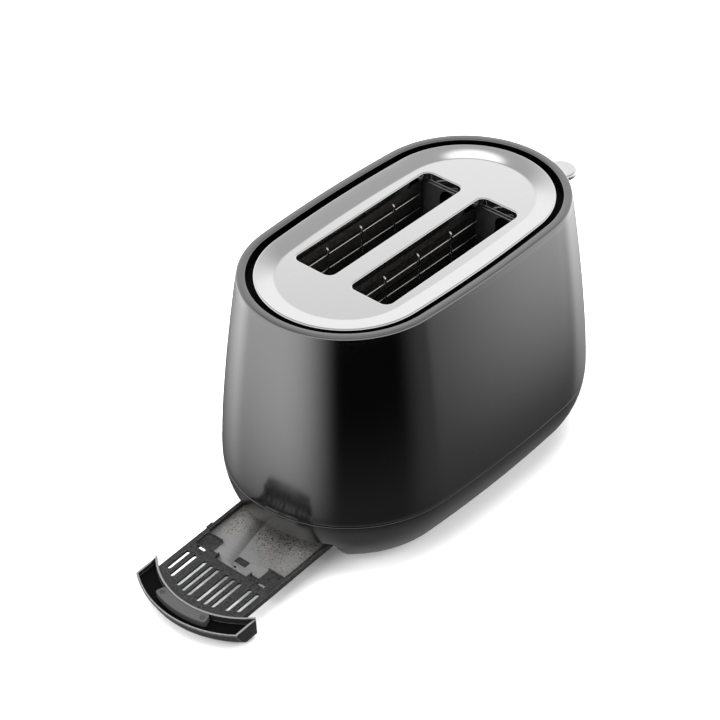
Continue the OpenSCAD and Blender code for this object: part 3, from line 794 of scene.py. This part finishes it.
def make_dial():
    """Fluted knob with a raised grip bar."""
    lo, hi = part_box("browning_dial")
    r = (hi.z - lo.z) / 2
    cz = (lo.z + hi.z) / 2
    count = 28
    depth = 0.02

    def flutes(a, dx):
        return -depth * (0.5 + 0.5 * math.cos(count * a)) if 0.6 * MM < dx < 4.6 * MM else 0.0

    profile = [(0, 0), (0, r - 0.5 * MM), (0.4 * MM, r)]
    profile += [(x * MM, r - (x - 0.4) * 0.1 * MM) for x in (0.8, 2, 3.2, 4.4)]
    profile += [(5.2 * MM, r - 0.9 * MM), (5.8 * MM, r - 1.6 * MM), (6 * MM, r - 2.6 * MM),
                (6 * MM, r - 3 * MM), (6 * MM, 0.5 * MM), (6 * MM, 0)]
    knob = lathe_x("dial_knob", profile, lo.x, 0, cz, 8 * count, flutes)
    bar = x_prism("grip", [(y, cz + z) for y, z in round_rect(4 * MM, 2 * r - 4 * MM, 1.9 * MM)],
                  lo.x + 5 * MM, hi.x - 0.15 * MM)
    mod = bar.modifiers.new("edge", "BEVEL")
    mod.width = 0.8 * MM
    mod.segments = 3
    mod.limit_method = "ANGLE"
    baked(bar)
    combine(knob, bar, "UNION")
    return dress(knob, dial_black, "dial", "dial_black", "browning_dial")


def make_pointer():
    """White line at the top of the grip bar."""
    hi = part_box("browning_dial")[1]
    outline = [(y, hi.z - 6.2 * MM + z) for y, z in round_rect(0.9 * MM, 5 * MM, 0.44 * MM)]
    pointer = x_prism("dial_pointer", outline, hi.x - 0.6 * MM, hi.x)
    return dress(pointer, mark_white, "dial", "dial_black")


def make_button(button):
    """Push button with a softly dished face."""
    node = button + "_button"
    lo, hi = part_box(node)
    cy, cz = (lo.y + hi.y) / 2, (lo.z + hi.z) / 2
    r = 5 * MM
    length = hi.x - lo.x
    shoulder_r = (hi.y - lo.y) / 2
    shoulder = length - 8 * MM
    profile = [(0, 0), (0, r), (shoulder - 2 * MM, r), (shoulder - 2 * MM, shoulder_r), (shoulder, shoulder_r),
               (shoulder, r), (length - 1.0 * MM, r)]
    profile += [(length - 0.45 * MM, r - 0.18 * MM), (length - 0.12 * MM, r - 0.5 * MM), (length, r - 1.0 * MM),
                (length - 0.1 * MM, r - 1.8 * MM), (length - 0.3 * MM, r - 3 * MM),
                (length - 0.4 * MM, 0.8 * MM), (length - 0.42 * MM, 0)]
    cap = lathe_x(button + "_cap", profile, lo.x, cy, cz, 64)
    return dress(cap, lever_silver, node + "_body", "button_silver", node)


def on_tray(x, y, h):
    """A place on the sloping tray: along it, across it and above its top."""
    c, s = math.cos(TRAY_TILT), math.sin(TRAY_TILT)
    return Vector((TRAY_X + x * c - h * s, y, TRAY_Z + x * s + h * c))


def make_tray():
    """The tray's four pieces; the front piece's well floor is painted near-black as shade, and the tops of its
    lips and its rounded edges are painted pale as highlight.
    """
    # The frame's rounded edges take the last material, the painted highlight.
    tray = refined("crumb_tray_frame", "tray_frame", 0.35 * MM, 2, 35, (tray_black, painted_edge_highlight))
    dress(tray, tray_black, "crumb_tray", "tray_black", "crumb_tray_frame")
    floor = refined("crumb_tray_floor", "tray_floor", 0.12 * MM, 1)
    dress(floor, tray_steel, "crumb_tray", "tray_steel", "crumb_tray_floor")
    # The front piece's rounded edges take its last material, the painted highlight.
    front = refined("tray_fascia", "tray_front", 0.4 * MM, 3, 35, (fascia_black, well_painted_shade, lip_painted_highlight))
    tray_up = on_tray(0, 0, 1) - on_tray(0, 0, 0)
    # Painted light: up-facing faces above the tray's top, the lip tops, get the painted highlight; the
    # up-facing well floor gets painted shade.
    for face in front.data.polygons:
        height = (face.center - on_tray(0, 0, 0)).dot(tray_up)
        if face.normal.dot(tray_up) > 0.9:
            if height > 0:
                face.material_index = 2
            elif abs(height - WELL_H) < 0.3 * MM:
                face.material_index = 1
    dress(front, fascia_black, "crumb_tray", "fascia_black", "tray_fascia")
    pad = refined("fascia_grip", "tray_grip", 0.9 * MM, 4)
    dress(pad, grip_grey, "crumb_tray", "grip_grey", "fascia_grip")


def make_grip_marks():
    """A small round dimple with a raised rim at each end of the pad."""
    bm = bmesh.new()
    n = 28
    turns = [2 * math.pi * k / n for k in range(n)]
    for side in (1, -1):
        a = side * math.radians(15.3)
        cx, cy = FASCIA_C - PAD_R * math.cos(a), PAD_R * math.sin(a)
        loops = []
        for r, h in ((2.2, -0.3), (2.2, 0.02), (2.05, 0.12), (1.8, 0.12), (1.65, 0.03), (0.5, 0.02)):
            loops.append(ring_of(bm, [on_tray(cx + r * MM * math.cos(t), cy + r * MM * math.sin(t),
                                              PAD_TOP + h * MM) for t in turns]))
        for outer, inner in zip(loops, loops[1:]):
            bridge(bm, outer, inner)
        bm.faces.new(loops[0])
        bm.faces.new(loops[-1])
    dress(new_object("grip_marks", bm, 60), mark_grey, "crumb_tray", "grip_grey")


def make_feet():
    feet = refined("feet", "rubber_feet", 0.7 * MM, 3)
    return dress(feet, rubber_black, "housing", "foot_rubber", "feet")


def make_chamber():
    """The chamber's end plates and the bread racks, which show through the slots."""
    for node, name in (("front_frame", "front_plate"), ("rear_frame", "rear_plate")):
        dress(refined(node, name, 0.3 * MM, 2), frame_steel, "housing", "chamber_steel", node)
    for node, name in (("left_bread_rack", "left_rack"), ("right_bread_rack", "right_rack")):
        dress(refined(node, name, 0.2 * MM, 1), chamber_steel, "carriage", "chamber_steel", node)


CAD_FINISH = {
    zinc: ("bottom_plate", "base_screws"),
    rubber_black: ("cord_gland",),
    guide_plastic: ("tray_guides",),
    chamber_steel: ("left_reflector", "right_reflector", "rod_brackets", "carriage_plate", "lever_arm"),
    mica: ("left_heater", "center_heater", "right_heater"),
    ribbon: ("heater_windings",),
    ground_steel: ("guide_rods", "dial_shaft"),
    iron: ("electromagnet", "armature"),
    copper: ("magnet_coil",),
    board_green: ("circuit_board",),
    switch_black: ("tact_switches", "potentiometer"),
    terminal_cream: ("terminal_block",),
}


def finish_cad_nodes():
    """Gives the CAD nodes that stay as they are their materials."""
    for mat, nodes in CAD_FINISH.items():
        for node in nodes:
            mesh = frame["nodes"][node].data
            mesh.materials.clear()
            mesh.materials.append(mat)


# ---- stage, light and camera ----

def make_floor():
    """Pale floor that reaches the horizon, kept out of the metal's mirror image."""
    bm = bmesh.new()
    n, size = 8, 80.0
    grid = [[bm.verts.new((size * (i / n - 0.5), size * (j / n - 0.5), 0)) for j in range(n + 1)]
            for i in range(n + 1)]
    for i in range(n):
        for j in range(n):
            bm.faces.new((grid[i][j], grid[i + 1][j], grid[i + 1][j + 1], grid[i][j + 1]))
    floor = new_object("floor", bm)
    floor.data.materials.append(material("floor_pale", grey(0.88), grey(0.9), (0.8, 0.9), scale=3))
    floor.visible_glossy = False


def direction(azimuth, elevation):
    """Unit vector; azimuth from +X towards +Y, in degrees."""
    a, e = math.radians(azimuth), math.radians(elevation)
    return Vector((math.cos(a) * math.cos(e), math.sin(a) * math.cos(e), math.sin(e)))


def make_world():
    """What the metal mirrors: pale above, dark below, with soft light cards low on both sides."""
    world = bpy.data.worlds.new("studio")
    bpy.context.scene.world = world
    world.use_nodes = True
    tree = world.node_tree
    tree.nodes.clear()
    coords = tree.nodes.new("ShaderNodeTexCoord")
    split = tree.nodes.new("ShaderNodeSeparateXYZ")
    tree.links.new(coords.outputs["Generated"], split.inputs["Vector"])

    def mapped(socket, from_lo, from_hi, to_lo, to_hi):
        return map_range(tree, socket, (from_lo, from_hi), (to_lo, to_hi), "SMOOTHSTEP")

    def times(a, b):
        return math_node(tree, "MULTIPLY", a, b)

    def plus(a, b):
        return math_node(tree, "ADD", a, b)

    flat = tree.nodes.new("ShaderNodeCombineXYZ")
    tree.links.new(split.outputs["X"], flat.inputs["X"])
    tree.links.new(split.outputs["Y"], flat.inputs["Y"])
    level = tree.nodes.new("ShaderNodeVectorMath")
    level.operation = "NORMALIZE"
    tree.links.new(flat.outputs["Vector"], level.inputs[0])

    def lobe(vector, centre, full, none):
        """1 within full degrees of a direction, 0 beyond none."""
        dot = tree.nodes.new("ShaderNodeVectorMath")
        dot.operation = "DOT_PRODUCT"
        tree.links.new(vector, dot.inputs[0])
        dot.inputs[1].default_value = centre
        return mapped(dot.outputs["Value"], math.cos(math.radians(none)), math.cos(math.radians(full)), 0, 1)

    def around(azimuth, full, none):
        return lobe(level.outputs["Vector"], direction(azimuth, 0), full, none)

    def towards(azimuth, elevation, full, none):
        return lobe(coords.outputs["Generated"], direction(azimuth, elevation), full, none)

    z = split.outputs["Z"]
    left = times(around(136, 16, 78), mapped(z, -0.68, -0.40, 0.14, 1.2))
    right = times(around(0, 26, 60), mapped(z, -0.58, -0.34, 0.05, 1.45))
    wide = times(around(-10, 50, 84), mapped(z, -0.70, -0.30, 0.03, 0.16))
    sides = times(around(46, 48, 68), mapped(z, -0.68, -0.3, 0.02, 1.5))
    low = plus(plus(left, right), plus(wide, sides))
    low = plus(low, mapped(z, -0.40, -0.58, 0.0, 0.045))
    low = plus(low, mapped(z, -0.70, -0.90, 0.0, 0.11))
    low = times(low, math_node(tree, "SUBTRACT", 1, towards(42, -38, 8, 15)))
    card = times(towards(43, 58, 5, 8.5), 0.9)
    high = plus(mapped(z, 0.50, 0.72, 1.06, 0.45), card)
    is_up = mapped(z, -0.24, 0.0, 0, 1)
    blend = tree.nodes.new("ShaderNodeMix")
    tree.links.new(is_up, blend.inputs["Factor"])
    tree.links.new(low, blend.inputs[2])
    tree.links.new(high, blend.inputs[3])
    background = tree.nodes.new("ShaderNodeBackground")
    background.inputs["Color"].default_value = (1, 1, 1, 1)
    tree.links.new(blend.outputs[0], background.inputs["Strength"])
    output = tree.nodes.new("ShaderNodeOutputWorld")
    tree.links.new(background.outputs[0], output.inputs["Surface"])


def add_lamp(name, data, location, aim):
    """Places a lamp that shines along aim and isn't mirrored by the metal."""
    lamp = bpy.data.objects.new(name, data)
    lamp.location = location
    lamp.rotation_euler = aim.to_track_quat("-Z", "Y").to_euler()
    lamp.visible_glossy = False
    bpy.context.scene.collection.objects.link(lamp)


def make_lights():
    """A broad overhead light, and a soft box at each side."""
    overhead = bpy.data.lights.new("overhead", "SUN")
    overhead.energy = 4.6
    overhead.angle = math.radians(65)
    add_lamp("overhead", overhead, Vector((0, 0, 0)), -direction(60, 75))
    distance = 1.8
    target = Vector((0, 0, 0.1))
    for name, azimuth, elevation in (("left_key", 175, 35), ("right_fill", -60, 30)):
        soft_box = bpy.data.lights.new(name, "AREA")
        soft_box.shape = "RECTANGLE"
        soft_box.size, soft_box.size_y = 1.4, 1.0
        soft_box.energy = 25
        place = target + direction(azimuth, elevation) * distance
        add_lamp(name, soft_box, place, target - place)


def make_camera():
    """The photo's view: from over the tray's end, a little rolled."""
    azimuth, elevation, roll = (math.radians(a) for a in (-48.027, 37.873, -0.871))
    distance = 1.6683
    target = Vector((MID_X - 0.0645, -0.0108, 0.13385))
    back = Vector((math.sin(azimuth) * math.cos(elevation), -math.cos(azimuth) * math.cos(elevation),
                   math.sin(elevation)))
    right = Vector((0, 0, 1)).cross(back).normalized()
    up = back.cross(right)
    c, s = math.cos(roll), math.sin(roll)
    right, up = c * right + s * up, -s * right + c * up
    camera = bpy.data.objects.new("camera", bpy.data.cameras.new("camera"))
    camera.data.sensor_width = 36.0
    camera.data.lens = 118.27
    camera.data.clip_end = 20.0
    pose = Matrix((right, up, back)).transposed().to_4x4()
    pose.translation = target + back * distance
    camera.matrix_world = pose
    bpy.context.scene.collection.objects.link(camera)
    bpy.context.scene.camera = camera


make_camera()
make_floor()
make_world()
make_lights()
bpy.context.scene.view_settings.view_transform = "Standard"

make_shell()
make_base()
make_collar()
make_plate()
make_panel()
make_dial_marks()
for guard, guard_y, sign in (("left_outer_guard", 45 * MM, -1), ("left_inner_guard", 9 * MM, 1),
                             ("right_inner_guard", -9 * MM, -1), ("right_outer_guard", -45 * MM, 1)):
    make_guard(guard, guard_y, sign)
make_ledges()
make_spring()
make_chamber()
make_feet()
make_lever()
make_dial()
make_pointer()
for push_button in BUTTONS:
    make_button(push_button)
make_tray()
make_grip_marks()
finish_cad_nodes()
